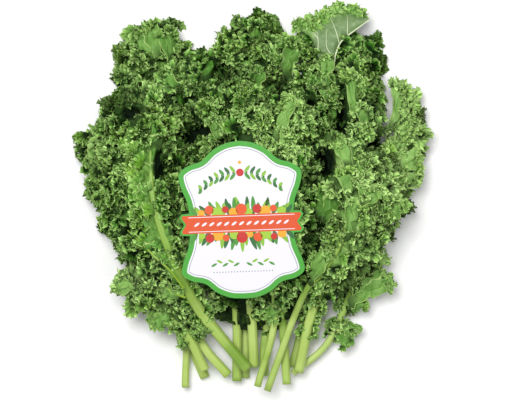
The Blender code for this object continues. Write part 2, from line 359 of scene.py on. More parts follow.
def stalk(skin, leaf, thick):
    """The stalk and midrib, and the disc of its cut end."""
    rings = len(CUT_RADII)
    share = np.concatenate((np.zeros(rings), np.linspace(0, 0.97, STALK_STEPS)))
    spot, ahead = on_path(leaf.path, share)
    height, room = layer_middle(leaf.layer, spot)
    if leaf.bare[0]:
        bare_end = leaf.blade + (1 - leaf.blade) * leaf.bare[2]
        raised = smooth(share, leaf.blade, leaf.blade + 0.1) * smooth(bare_end - share, 0, 0.2)
        height += (DOME_HEIGHT * 0.5 * room + 0.5 * MM) * raised
    fade = smooth(share, leaf.blade * 0.8, 1)
    radii = thick * (1 + (RIB_END_RADIUS / STALK_RADIUS - 1) * (0.12 * share + 0.88 * fade))
    radii *= 1 + 0.03 * np.sin(share * 17 + leaf.phase * 5)
    radii[:rings] *= CUT_RADII
    centres = np.concatenate((spot, np.maximum(height, radii.max() * 1.07)[:, None]), 1)
    # the rings of the cut end lie a hair apart, so that the stalk has a direction there
    centres[:, :2] += ahead * (np.minimum(np.arange(len(share)) / 4000, 0.0001) * MM)[:, None]
    cut = np.concatenate((CUT_PALE, np.zeros(STALK_STEPS)))
    run = np.concatenate(([0], np.linalg.norm(np.diff(centres, axis=0), axis=1).cumsum())) / MM
    rod(skin, centres, radii, STALK_SIDES, STALK, 0.16, edge=cut[:, None], tint=share[:, None],
        rib=leaf.phase / 3, along=run[:, None])


# ---- The blades ------------------------------------------------------------------------------
# Each blade is a thin sheet of leaf, broad and quilted between its side veins, that grows faster at
# its margin than along its midrib, so that it waves more and more towards the margin.

WAVE_HEIGHT, RIPPLE_HEIGHT, WAVE_CURL = 7.8 * MM, 2.0 * MM, 1.5 * MM
MARGIN_DROOP, TABLE_DROOP = 2.0 * MM, 7.5 * MM
LOBE_DEPTH = 0.09
QUILT_HEIGHT, CRINKLE_HEIGHT = 2.2 * MM, 0.6 * MM
LUMP_HEIGHT = 3.5 * MM
BLADE_STEPS, BLADE_COLUMNS = 130, 57
BLADE_VEINS, LOBE_VEINS, LOBE_EDGE_VEINS = 42, 19.5, 4.5       # where their side veins start, in mm


def blade_length(leaf):
    """How long the blade is in mm, straight from point to point of its midrib."""
    return np.linalg.norm(np.diff(np.array(leaf.path), axis=0), axis=1).sum() * (1 - leaf.blade)


def half_width(leaf, u):
    """The blade's half width along the midrib, as a share of its widest."""
    return (0.4 + 0.6 * smooth(u, 0, leaf.full)) * (1 - 0.72 * u**7)


def blade_points(leaf, u, v):
    """The points of the blade at u along the midrib and v across it, from -1 to 1."""
    foot, ahead = on_path(leaf.path, leaf.blade + (1 - leaf.blade) * u)
    side = np.where(v < 0, 1, -1)
    reach = np.abs(v)
    aside = np.stack((-ahead[..., 1], ahead[..., 0]), -1) * side[..., None]
    lean = np.radians(82 - 30 * np.sin(pi * u**1.5))[..., None]
    vein = aside * np.sin(lean) + ahead * np.cos(lean)
    turn = 2 * pi * leaf.waves * (u + 0.25 * u**4 * (1 - reach)) + leaf.phase
    turn = turn + np.where(side > 0, pi / 2, 0)
    width = np.where(side > 0, leaf.left, leaf.right) * MM * half_width(leaf, u)
    width = width * (1 + LOBE_DEPTH * np.sin(1.5 * turn) * reach**3)
    narrow = np.minimum(1, width / (20 * MM))
    curl = WAVE_CURL * narrow * np.sin(2 * turn) * reach**2
    spot = foot + vein * (width * reach)[..., None] - ahead * curl[..., None]
    middle, room = layer_middle(leaf.layer, spot)
    wave = WAVE_HEIGHT * np.sin(turn) * reach**1.6 + RIPPLE_HEIGHT * np.sin(2 * turn + 1) * reach**4
    quilt = QUILT_HEIGHT * np.abs(np.sin(turn)) * reach**0.5 * (1 - reach * 0.6)
    crinkle = CRINKLE_HEIGHT * np.sin(11 * turn + 6 * reach) * np.sin(15 * reach + 3 * turn) * reach
    droop = (MARGIN_DROOP if leaf.layer else TABLE_DROOP) * reach
    dome = DOME_HEIGHT * (0.5 - reach**2)
    dome = dome + LUMP_HEIGHT * np.sin(0.9 * turn + 4 * v) * np.sin(4 * v + leaf.phase)
    height = middle + (wave + quilt + crinkle + dome) * room * narrow - droop
    return np.concatenate((spot, height[..., None]), -1)


CARD_CENTRE = np.array((-11, -19.5, 83.45)) * MM
CARD_TURN, CARD_TILT = radians(2), radians(3.5)
CARD_HALF = np.array((56, 72)) * MM
TOP_FROM, TOP_ROOM = 86 * MM, 13 * MM       # the highest frills are pressed down into this depth
TABLE_ROOM, CARD_ROOM, EASE = 2 * MM, 3 * MM, 8 * MM       # and those at the table and the card


def between(points):
    """The points, eased up off the table, down from under the card and down from the bunch's top."""
    z = points[..., 2]
    z = np.where(z < TABLE_ROOM, TABLE_ROOM * np.exp((z - TABLE_ROOM) / EASE), z)
    off = points[..., :2] - CARD_CENTRE[:2]
    ceiling = CARD_CENTRE[2] + off[..., 1] * np.tan(CARD_TILT) - 0.5 * MM
    beneath = np.all(np.abs(off) < CARD_HALF, -1)
    eased = ceiling - CARD_ROOM * np.exp(-np.maximum(z - ceiling + CARD_ROOM, 0) / EASE)
    z = np.where(beneath & (z > ceiling - CARD_ROOM), eased, z)
    over = np.maximum(z - TOP_FROM, 0) / TOP_ROOM
    points[..., 2] = np.where(over > 0, TOP_FROM + TOP_ROOM * over / (1 + over), z)
    return points


# Where the bunch is open between its frills, sunk down and painted dark as shade: the middle of
# each and its half widths, in mm.
OPENINGS = ((-112, 77, 8, 6), (-59, 55, 9, 6), (-49, 61, 9, 8), (-57, 89, 5, 4), (51, 84, 4, 4),
            (80, 71, 4, 20), (65, 33, 7, 14), (108, 48, 6, 4), (-86, 27, 3, 14), (-31, 116, 5, 6),
            (22, 100, 6, 3))
OPENING_DEPTH = 14 * MM


def opened(spot, more=0):
    """From 0 to 1 in the openings between the frills, each taken this much wider all round."""
    share = np.zeros(spot.shape[:-1])
    for x, y, wide, high in OPENINGS:
        off = (spot[..., :2] / MM - (x, y)) / (wide + more, high + more)
        share = np.maximum(share, smooth(-np.linalg.norm(off, axis=-1), -1.25, -0.75))
    return share


# The smooth lobes that stand clear of the frills, each like half a funnel: the places of its foot
# and of the middle of its rim in mm, its half angle, how high it lies over the leaf and rises,
# how its straight and its frilled edge stand, which edge is straight (-1 the left one), and its
# tint and frills.
Lobe = namedtuple("Lobe", "leaf foot tip spread lift rise edges straight tint frill")
LOBES = [Lobe(leaf, *row) for leaf, *rows in (
    ("right_front",
     ((84, 27), (80, 48), 27, 9, 3, (2, -6), -1, 0.62, 5),
     ((85, 2), (81, 24), 24, 9, 3, (2, -6), -1, 0.6, 5),
     ((81, -37), (88, -3), 14, 9, 1, (3, -3), -1, 0.6, 5),
     ((95, -2), (97, 10), 26, 9, 3, (1, 0), -1, 0.8, 5),
     ((95, -7), (114, 7), 15, 9, 2, (2, 1), 1, 0.75, 5),
     ((117, -26), (133, -5), 14, 4, 2, (2, 0), 1, 0.75, 6),
     ((51, -79), (63, -48), 13, 7, 1, (1, -2), 1, 0.5, 4)),
    ("right_middle",
     ((102, 63), (96, 81), 21, 9, 3, (1, -4), -1, 0.7, 5),
     ((88, 70), (87, 112), 9, 9, 2, (2, -3), -1, 0.6, 6)),
    ("far_right",
     ((123, 60), (135, 106), 8, 9, 3, (3, -2), -1, 0.95, 6),
     ((129, 35), (152, 34), 27, 9, 2, (0, 1), -1, 1.0, 5),
     ((131, 25), (150, 15), 14, 9, 2, (1, 1), -1, 0.95, 5),
     ((86, -100), (126, -73), 14, 9, 2, (2, 0), 1, 0.6, 3.5),
     ((85, -103), (103, -96), 17, 7, 0, (2, -2), -1, 0.5, 3.5),
     ((81, -115), (97, -120), 12, 6, 0, (1, 0), -1, 0.4, 3.5),
     ((76, -125), (86, -135), 28, 5, 0, (1, -1), 1, 0.35, 4)),
    ("centre_front",
     ((19, 48), (35, 88), 9, 8, 2, (2, -2), 1, 0.7, 5),
     ((23, 43), (27, 59), 15, 8, 2, (1, -2), -1, 0.7, 5),
     ((23, -93), (11, -110), 24, 3, 0, (1, -1), 1, 0.5, 4)),
    ("turned_tip",
     ((69, 85), (61, 112), 17, 9, 2, (1, -4), -1, 0.3, 5),
     ((69, 102), (66, 128), 14, 9, 6, (0, 0), 1, 0.6, 4)),
    ("centre_right",
     ((61, -23), (71, 7), 25, 9, 2, (2, -3), 1, 0.2, 5)),
    ("top_middle",
     ((7, 95), (4, 118), 14, 10, 3, (2, -5), 1, 0.2, 5),
     ((31, 110), (36, 143), 17, 8, 4, (0, -3), 1, 0.35, 8)),
    ("top_left",
     ((-88, 130), (-102, 157), 24, 9, 3, (1, -2), 1, 0.5, 6),
     ((-79, 127), (-82, 154), 17, 9, 2, (1, -3), -1, 0.35, 6)),
    ("upper_left",
     ((-68, 100), (-81, 113), 20, 8, 1, (0, -2), 1, 0.3, 6)),
    ("centre_left",
     ((-4, 74), (-10, 93), 13, 8, 2, (2, -4), 1, 0.2, 5),
     ((-31, 49), (-38, 70), 12, 8, 2, (2, -2), -1, 0.7, 5)),
    ("lower_left",
     ((-75, -100), (-92, -117), 20, 6, 0, (1, -2), 1, 0.6, 4),
     ((-67, -89), (-83, -82), 26, 8, 1, (1, -2), 1, 0.75, 4),
     ((-107, -84), (-125, -78), 26, 7, 0, (0, 0), -1, 0.8, 5)),
) for row in rows]
LOBE_LAYER = {leaf.name: leaf.layer for leaf in LEAVES}
# the thin stalks of small leaflets that lie bare on top, from their far ends to where they join, in mm
SIDE_STALKS = (
    ("left_front", ((-113, -29), (-101, -40), (-87, -54), (-75, -65), (-63, -81))),
    ("left_front", ((-84, -71), (-81, -78), (-74, -85), (-62, -90))),
)
SIDE_STEPS, SIDE_SIDES = 30, 8
SIDE_LIFT, SIDE_GAP = 8 * MM, 3 * MM        # over the leaf, and what stays free of frills round them
LOBE_GAP = 4 * MM           # what stays free of frills beside a lobe's straight edge


def side_stalk(layer, line):
    """The line of a thin stalk over the leaf."""
    spot = on_path(line, np.linspace(0, 1, SIDE_STEPS))[0]
    return np.concatenate((spot, (layer_middle(layer, spot)[0] + SIDE_LIFT)[:, None]), 1)


def lobe_frame(lobe):
    """(its foot, which way it runs, the side of its frilled edge, its length)"""
    foot, tip = np.array(lobe.foot) * MM, np.array(lobe.tip) * MM
    ahead = unit(tip - foot)
    return foot, ahead, np.array((ahead[1], -ahead[0])) * -lobe.straight, np.linalg.norm(tip - foot)


def lobe_half(lobe, length, r):
    """The half width of a lobe at r from its foot to its rim."""
    return length * np.tan(radians(lobe.spread)) * (0.3 + 0.7 * r)


def lobe_points(lobe, r, a):
    """Points of a lobe: r from foot to rim, a from -1 at its straight edge to 1 at the other."""
    foot, ahead, aside, length = lobe_frame(lobe)
    half = lobe_half(lobe, length, r) * (1 + 0.12 * np.sin(15 * r + 9 * lobe.tint) * np.maximum(a, 0))
    run, side = r * length * (1 - 0.12 * a**2), a * half + 0.05 * length * np.sin(pi * r)
    spot = foot + ahead * run[..., None] + aside * side[..., None]
    edges = lobe.edges[0] * np.maximum(-a, 0)**2 + lobe.edges[1] * np.maximum(a, 0)**2
    folds = 1.1 * np.sin(5 * a + 9 * lobe.tint + 2 * r) + 0.25 * np.sin(13 * a + 7 * r)
    folds = folds * (0.3 + 0.7 * r)
    height = layer_middle(LOBE_LAYER[lobe.leaf], spot)[0]
    height = height + (lobe.lift + lobe.rise * r + edges * r**0.7 + folds) * MM
    points = np.concatenate((spot, height[..., None]), -1)
    return uneven(points, 1.6, 0.3)


def on_lobes(points):
    """(how high these points may reach under the lobes, whether they are kept free of frills)"""
    room, near = np.full(points.shape[:-1], 1.0), np.zeros(points.shape[:-1], bool)
    for lobe in LOBES:
        foot, ahead, aside, length = lobe_frame(lobe)
        off = points[..., :2] - foot
        r = off @ ahead / length
        half = lobe_half(lobe, length, np.clip(r, 0, 1))
        side = off @ aside - 0.05 * length * np.sin(pi * np.clip(r, 0, 1))
        inside = (np.abs(side) < half + 1 * MM) & (r > 0) & (r < 0.97)
        near |= (inside | ((side < 0) & (side > -half - LOBE_GAP))) & (r > 0.15) & (r < 0.9)
        under = lobe_points(lobe, np.clip(r, 0, 1), np.clip(side / half, -1, 1))[..., 2] - 3 * MM
        room = np.where(inside, np.minimum(room, under), room)
    for name, line in SIDE_STALKS:
        for spot in side_stalk(LOBE_LAYER[name], line)[:, :2]:
            near |= np.linalg.norm(points[..., :2] - spot, axis=-1) < SIDE_GAP
    return room, near


CRUMPLE_DEPTH, CRUMPLE_LENGTH = 0.55 * MM, 6 * MM
folds = np.random.default_rng(3)
FOLD_LINES = unit(folds.normal(size=(12, 3))) * folds.uniform(0.7, 1.6, (12, 1))
FOLD_LINES = FOLD_LINES * 2 * pi / CRUMPLE_LENGTH
FOLD_PUSH, FOLD_START = unit(folds.normal(size=(12, 3))) * CRUMPLE_DEPTH, folds.uniform(0, 2 * pi, 12)


def crumpled(points):
    """The points, pushed about as in a crumpled sheet, so that no two frills are alike."""
    return points + np.sin(points @ FOLD_LINES.T + FOLD_START) @ FOLD_PUSH


def uneven(points, coarse, share):
    """The points, pushed about in coarser folds and by a share as much."""
    return points + (crumpled(points / coarse) * coarse - points) * share


def lobe_sheet(skin, lobe):
    """The smooth sheet of a lobe, and the vein that stiffens its straight edge."""
    r, a = np.meshgrid(np.linspace(0, 1, 26), np.linspace(-1, 1, 27), indexing="ij")
    # painted shade: darker at its foot and, where its frilled edge drops steeply, towards that edge
    shade = (0.2 + 0.8 * smooth(r, 0, 0.4)) * (1 - 0.5 * (lobe.edges[1] < -2) * smooth(a, 0.2, 1))
    half = lobe_half(lobe, lobe_frame(lobe)[3], 1) / MM
    skin.grid(between(uneven(lobe_points(lobe, r, a), 1.8, 0.6)), FACE, tint=lobe.tint * 0.8,
              rib=0.5 * smooth(-a, 0.85, 1), open=shade, along=half * (a + 1) - LOBE_VEINS)
    along = np.linspace(0.03, 0.95, 20)
    line = between(uneven(lobe_points(lobe, along, np.full(20, -1.0)), 1.8, 0.6))
    rod(skin, line, (0.6 - 0.4 * along) * MM, 6, FACE, rib=0.5, along=-LOBE_EDGE_VEINS)


def bare_at(leaf, u, reach, soft):
    """1 where the blade has no frills, beside its midrib, and 0 where they cover it."""
    share, start, end = leaf.bare
    share = share * (1 + 0.25 * np.sin(23 * u + leaf.phase) + 0.15 * np.sin(61 * u + 2 * leaf.phase))
    bare = smooth(share + soft - reach, 0, soft * 2) * (share > 0)
    return bare * smooth(u, start - 0.03, start + 0.03) * smooth(end + 0.03 - u, 0, 0.06)


NECK_MIDDLE = 10 * MM
NECK_FROM, NECK_FULL = -84 * MM, -92 * MM
NECK_HALF, NECK_EDGE = 36 * MM, 42 * MM


def neck_at(points, layer):
    """1 low in the middle of the bunch, where the lower leaves' stalks are seen, and 0 elsewhere."""
    across = np.abs(points[..., 0] - NECK_MIDDLE)
    low = smooth(-points[..., 1], -NECK_FROM, -NECK_FULL)
    return low * smooth(-across, -NECK_EDGE, -NECK_HALF) * (layer < 3)


LUMP_SPACE, LUMP_RISE = 24 * MM, 5.2 * MM


def lumps(rng):
    """A function of the spots: -1 in the hollows, 1 on top of the lumps that the leaf is massed in."""
    lines = unit(rng.normal(size=(9, 2))) * rng.uniform(0.7, 1.5, (9, 1)) * 2 * pi / LUMP_SPACE
    starts = rng.uniform(0, 2 * pi, 9)
    return lambda spots: np.tanh(np.sin(spots[..., :2] @ lines.T + starts).sum(-1) / 2)


def plain_at(swell, reach):
    """From 0 to 1 on the tops of the lumps, where the leaf's face shows between its frills."""
    return smooth(swell, 0.55, 0.85) * smooth(0.85 - reach, 0, 0.15)


def blade(skin, leaf, swell):
    """The quilted sheet of the blade, massed in lumps and sunk in at the openings."""
    u, v = np.meshgrid(np.linspace(0, 1, BLADE_STEPS), np.linspace(-1, 1, BLADE_COLUMNS), indexing="ij")
    points = blade_points(leaf, u, v)
    reach = np.abs(v)
    tint = 0.1 + 0.7 * leaf.pale + 0.2 * np.sin(leaf.waves * 2 * pi * u + leaf.phase) * reach
    lump = swell(points)
    points[..., 2] += np.maximum(lump, -0.3) * LUMP_RISE * smooth(reach, 0, 0.2) * 1.1
    points += (crumpled(points / 2.2) * 2.2 - points) * 0.55 * smooth(reach, 0, 0.15)[..., None]
    points[..., 2] -= opened(points) * OPENING_DEPTH + 1.2 * MM * (1 - reach)**8
    points[..., 2] = np.minimum(points[..., 2], on_lobes(points)[0])
    points = between(points)
    bare = np.maximum(bare_at(leaf, u, reach, 0.15), plain_at(lump, reach))
    # painted shade: the blade is a dark ground under its frills, lighter on paler leaves and lit where
    # it is bare, and darker still in the openings and at the neck, behind the stalks
    shade = np.minimum(0.12 + 0.3 * min(leaf.pale, 1) + 0.88 * bare, 1) * (1 - opened(points))
    shade *= 1 - 0.8 * neck_at(points, leaf.layer)
    skin.grid(points, FACE, tint=tint - 0.15, rib=0.25 * (1 - reach)**6, open=shade,
              along=blade_length(leaf) * u - BLADE_VEINS)


# ---- The frills ------------------------------------------------------------------------------
# The margin of curly kale is many times longer than the leaf: it folds up into dense frills, each
# a small fan that stands out of the blade, waves from side to side and ends in fine teeth.

CELL, CELLS = 2.5 * MM, 160     # the table in squares, and how many each way
CARD_LAYER = 4
COVER_REACH = 9 * MM            # how far round a hidden spot has to be covered too


def cell_of(spot):
    return np.clip((spot / CELL + CELLS / 2).astype(int), 0, CELLS - 1)


cover = np.full((CELLS, CELLS), -1)     # the highest layer of leaves over each spot of the table
for leaf in LEAVES:
    u, v = np.meshgrid(np.linspace(0, 1, 200), np.linspace(-0.95, 0.95, 80), indexing="ij")
    x, y = np.moveaxis(cell_of(blade_points(leaf, u, v)[..., :2]), -1, 0)
    cover[x, y] = np.maximum(cover[x, y], leaf.layer)
off = (np.moveaxis(np.indices((CELLS, CELLS)), 0, -1) - CELLS / 2) * CELL - CARD_CENTRE[:2]
cover[np.all(np.abs(off) < CARD_HALF * 0.85, -1)] = CARD_LAYER


def is_hidden(spots, layer):
    """Whether higher leaves lie over these spots and all round them."""
    hidden = np.ones(len(spots), bool)
    for step in ((0, 0), (1, 0), (-1, 0), (0, 1), (0, -1)):
        x, y = cell_of(spots[:, :2] + np.array(step) * COVER_REACH).T
        hidden &= cover[x, y] > layer
    return hidden


def fans(skin, rng, root, axes, size, tint, columns, high, light=1.0, dark=0.4,
         rows=(0.1, 0.42, 0.72, 0.92, 1), spread=(1.0, 1.6), low=(3, 6, 0.26), curl=0.3):
    """Small ruffled fans, each from its root along its own axes: out, across and up.

    low and high are the range and the height of its slow and its fast waves, dark is how far from
    its root its painted shade reaches, light is how much painted light it gets all over, rows are
    its distances from root to edge, spread is the range of its half angle and curl is how far it
    bends up or down.
    """
    count = len(root)
    r = np.array(rows)[None, :, None]
    a = np.linspace(-1, 1, columns)[None, None, :]

    def draw(least, most):
        return rng.uniform(least, most, (count, 1, 1))

    start = [draw(0, 2 * pi) for _ in range(6)]
    slow, fast = draw(*low[:2]), draw(*high[:2])
    teeth = rng.uniform(-1, 1, (count, 1, columns))
    notches = 0.08 * np.sin(fast * a + start[1]) + 0.08 * teeth
    radius = r * (1 + 0.15 * np.sin(4.5 * a + start[0]) + notches * r**3)
    radius = radius * (1 - 0.25 * a**2)
    angle = a * draw(*spread) + 0.1 * r * np.sin(2 * fast * a + start[2])
    ruffle = np.sin(fast * a + 3 * r + start[2])
    lift = low[2] * r**1.6 * np.sin(slow * a + start[3]) + high[2] * r**3 * ruffle
    lift = lift + draw(-curl, curl) * r**2
    local = np.stack((radius * np.cos(angle), radius * np.sin(angle), lift), -1)
    local *= size[:, None, None, None]
    points = root[:, None, None] + np.einsum("nrca,nax->nrcx", local, axes)
    veins = np.exp(-(np.sin(2.2 * pi * a + start[4]) / 0.25)**2) * (1 - r)**0.5 * 0.5
    light = np.broadcast_to(light, count)[:, None, None]
    # painted shade: each fan darkens towards its root, in the valleys of its ruffles and by light; its
    # pale edge is its paler margin and also a painted highlight, dimmed with light
    shade = smooth(r, dark, 1) * light * (1 - 0.45 * r * smooth(-ruffle, 0, 1))
    skin.grid(between(crumpled(points)), FRILL, edge=r**10 * (0.8 + 0.2 * teeth) * light,
              tint=tint[:, None, None], rib=veins, open=shade)


BROAD_ROWS = (0.35, 0.6, 0.8, 0.92, 1)
HOLLOW = -0.68              # how low the leaf is between its lumps where it has no frills
FRILL_SPACE = 0.56          # from one to the next, as a share of their size
HIDDEN_OUT, OPENING_OUT, NECK_OUT = 0.8, 0.7, 0.85      # the share of the frills that is left out there
OPENING_SINK, BROAD_LIFT = 10 * MM, 3 * MM
SLOPE_STEP = 0.004          # how far along and across the blade its slope is taken


def frills(skin, leaf, rng, swell):
    """Fans all over the frilled part of the blade, closer together towards its margin."""
    spacing = leaf.frill * FRILL_SPACE
    rows = int(blade_length(leaf) / spacing)
    u, v, soft = [], [], []
    for i in range(rows):
        for side, half in ((-1, leaf.left), (1, leaf.right)):
            at = (i + 0.5) / rows
            across = max(2, int(half * half_width(leaf, at) / spacing) + 1)
            for j in range(across):
                place = (j + 0.5 + rng.uniform(-0.45, 0.45)) / across
                here = np.clip(at + rng.uniform(-0.5, 0.5) / rows, 0.001, 0.985)
                bare = bare_at(leaf, here, place, 0.05) > rng.uniform(0.2, 0.9)
                if bare and rng.random() < 0.45:
                    continue
                soft.append(bare)
                u.append(here)
                v.append(side * min(place**0.85, 0.99))
    u, v, soft = np.array(u), np.array(v), np.array(soft)
    root = blade_points(leaf, u, v)
    lump = swell(root)
    left_out = is_hidden(root, leaf.layer) & (rng.random(len(u)) < HIDDEN_OUT)
    left_out |= (lump < HOLLOW) & (np.abs(v) < 0.88) & (u < 0.88)
    sunk = opened(root, 5)
    left_out |= (sunk > 0.4) & ((leaf.layer > 1) | (rng.random(len(u)) < OPENING_OUT))
    left_out |= plain_at(lump, np.abs(v)) > rng.uniform(0.3, 1.2, len(u))
    in_neck = (neck_at(root, leaf.layer) > 0.5) & (rng.random(len(u)) < NECK_OUT)
    left_out |= on_lobes(root)[1] | in_neck
    u, v, root, lump, sunk, soft = (values[~left_out] for values in (u, v, root, lump, sunk, soft))
    count = len(u)
    along = unit(blade_points(leaf, u + SLOPE_STEP, v) - root)
    outward = unit(blade_points(leaf, u, v + np.sign(v) * SLOPE_STEP) - root)
    normal = np.cross(outward, along)
    normal *= np.sign(normal[:, 2:])
    normal = unit(normal + (0, 0, 1.0))
    outward = unit(outward - normal * np.sum(outward * normal, 1)[:, None])
    along = np.cross(normal, outward)
    broad = (rng.random(count) < 0.03 + min(leaf.pale, 0.8) * 0.05) & ~soft
    root[:, 2] += lump * LUMP_RISE + broad * BROAD_LIFT - sunk * OPENING_SINK
    margin = np.maximum(smooth(np.abs(v), 0.75, 0.97), smooth(u, 0.85, 0.97))
    swing = rng.normal(0, np.where(soft, 0.35, 1.1 - 0.5 * margin))
    rise = np.where(broad, rng.uniform(0.1, 0.8, count), rng.uniform(0.95, 1.9, count))
    rise *= 1 - 0.6 * margin
    rise = np.where(soft, rng.uniform(-0.05, 0.35, count), rise)
    ahead = smooth(u, 0.8, 1)[:, None]
    aside = 1 - ahead * 0.6
    outward, along = unit(outward * aside + along * ahead), unit(along * aside - outward * ahead)
    flat = outward * np.cos(swing)[:, None] + along * np.sin(swing)[:, None]
    main = flat * np.cos(rise)[:, None] + normal * np.sin(rise)[:, None]
    wide = along * np.cos(swing)[:, None] - outward * np.sin(swing)[:, None]
    axes = np.stack((main, wide, np.cross(main, wide)), 1)
    tint = rng.normal(0.1 + 0.7 * leaf.pale, 0.17, count) + 0.12 * np.sin(9 * u + leaf.phase)
    tint = np.clip(tint, 0, 1)
    size = leaf.frill * MM * rng.uniform(0.75, 1.25, count) * (0.75 + 0.25 * half_width(leaf, u))
    size *= 1 + 0.25 * margin * (rng.random(count) < 0.3)
    fine = ~broad & ~soft
    # painted shade: the frills darken in the hollows between the lumps and in the openings, and those
    # of paler leaves are shaded less from their roots
    light = (0.35 + 0.65 * smooth(lump, HOLLOW - 0.2, 0.2)) * (1 - 0.7 * sunk)
    fans(skin, rng, root[fine], axes[fine], size[fine], tint[fine], 45, (17, 25, 0.21), light[fine],
         0.46 - 0.4 * leaf.pale)
    fans(skin, rng, root[broad], axes[broad], size[broad] * 1.3, tint[broad], 41, (15, 21, 0.13),
         light[broad], rows=(0.08, *BROAD_ROWS), spread=(0.9, 1.5), low=(2, 5, 0.24), curl=0.35)
    fans(skin, rng, root[soft], axes[soft], size[soft] * 1.15, tint[soft] * 0.75, 37, (12, 17, 0.11),
         dark=-0.3, rows=(0.05, *BROAD_ROWS), spread=(0.8, 1.2), low=(2, 4, 0.16), curl=0.15)


def risen(flat, rise):
    """Directions along the table, turned up by these angles."""
    return np.concatenate((flat * np.cos(rise), np.sin(rise)), 1)


def level(main):
    """The axes of fans that point along main and lie level across."""
    wide = unit(np.cross((0, 0, 1), main))
    return np.stack((main, wide, np.cross(main, wide)), 1)


def rim(skin, lobe, rng):
    """The frills along a lobe's rim and its frilled edge."""
    foot, ahead, aside, length = lobe_frame(lobe)
    count = int(length * (radians(lobe.spread) * 2 + 0.6) / MM / 1.6)
    a = rng.uniform(-1, 1.5, count)
    r = np.where(a > 1, rng.uniform(0.3, 1, count), rng.uniform(0.84, 1, count))
    a = np.minimum(a, 1)
    turn = a * radians(lobe.spread) + np.where(a > 0.99, 0.9, 0) + rng.normal(0, 0.4, count)
    flat = ahead * np.cos(turn)[:, None] + aside * np.sin(turn)[:, None]
    axes = level(risen(flat, rng.uniform(-0.4, 1.1, count)[:, None]))
    size = lobe.frill * MM * rng.uniform(0.7, 1.3, count)
    tint = np.clip(rng.normal(lobe.tint, 0.1, count), 0, 1)
    fans(skin, rng, lobe_points(lobe, r, a), axes, size, tint, 37, (14, 20, 0.2), dark=0.1)


WING_CURLS = 46
WING_LINE, MIDDLE_WING_LINE = -132 * MM, -98 * MM       # where they end, at the sides and in the middle


def wings(skin, leaf, rng):
    """Small curls that grow along the upper part of a stalk, on both of its sides."""
    count = int(WING_CURLS * leaf.wing)
    share = rng.uniform(leaf.blade - 0.22 * leaf.wing, leaf.blade + 0.02, count)
    spot = on_path(leaf.path, np.maximum(share, 0))[0]
    in_middle = np.abs(spot[:, 0] - NECK_MIDDLE) < NECK_HALF
    share = share[spot[:, 1] > np.where(in_middle, MIDDLE_WING_LINE, WING_LINE)]
    count = len(share)
    spot, ahead = on_path(leaf.path, share)
    height, _ = layer_middle(leaf.layer, spot)
    root = np.concatenate((spot, height[:, None]), 1)
    side = rng.choice((-1, 1), count)
    aside = np.stack((-ahead[:, 1], ahead[:, 0]), 1) * side[:, None]
    root[:, :2] += aside * 3 * MM
    flat = unit(aside + ahead * rng.normal(0.5, 0.5, (count, 1)))
    main, wide, third = np.moveaxis(level(risen(flat, rng.uniform(-0.4, 0.9, count)[:, None])), 1, 0)
    spin = rng.normal(0, 0.7, (count, 1))
    wide, third = wide * np.cos(spin) + third * np.sin(spin), third * np.cos(spin) - wide * np.sin(spin)
    fans(skin, rng, root, np.stack((main, wide, third), 1), rng.uniform(5, 10, count) * MM,
         rng.uniform(0.1, 0.6, count), 33, (12, 18, 0.17), spread=(0.8, 1.4))


# ---- The turned tip --------------------------------------------------------------------------
# The tip of one leaf at the far end is turned over, so that its pale, dull underside shows, with
# the midrib along its lower edge, white side veins, and a frilled margin.

# the fold along its foot and its margin, both from left to right, in mm
TURNED_FOOT = ((43, 153), (51, 147), (56, 137), (60, 126), (71.6, 121), (74.5, 131), (78.4, 141),
               (84, 147), (94, 154.5), (105.4, 163))
TURNED_MARGIN = ((40, 157), (46, 161), (52, 164), (60, 166.5), (67.8, 170), (75, 173.5), (82, 171.5),
                 (90, 171.5), (96, 168.5), (105.4, 165))
# the side veins, each by how far along the foot it is at its start and end, and how far up from there
TURNED_VEINS = (((0.66, 0), (0.52, 0.65), (0.45, 0.96)), ((0.5, 0.04), (0.4, 0.33), (0.41, 0.7)),
                ((0.3, 0.1), (0.31, 0.35), (0.3, 0.6)), ((0.31, 0.45), (0.24, 0.5), (0.19, 0.5)),
                ((0.8, 0), (0.76, 0.4), (0.73, 0.8)))
TURNED_HEIGHT, TURNED_ARCH, TURNED_DROOP = 37 * MM, 7 * MM, 9 * MM
VEIN_LIFT, TURNED_FRILLS = 0.3 * MM, 120


def turned_points(s, w):
    """Points of the turned tip, s along its foot from left to right and w from there to the margin."""
    foot, margin = on_path(TURNED_FOOT, s)[0], on_path(TURNED_MARGIN, s)[0]
    spot = foot + (margin - foot) * w[..., None]
    height = TURNED_HEIGHT + TURNED_ARCH * np.sin(pi * w) * np.sin(pi * s)**0.5 - TURNED_DROOP * w**2
    height = height + 1.1 * MM * np.sin(19 * s + 2 * w) * w + 1.6 * MM * np.sin(37 * s + 5 * w) * w**4
    return np.concatenate((spot, height[..., None]), -1)


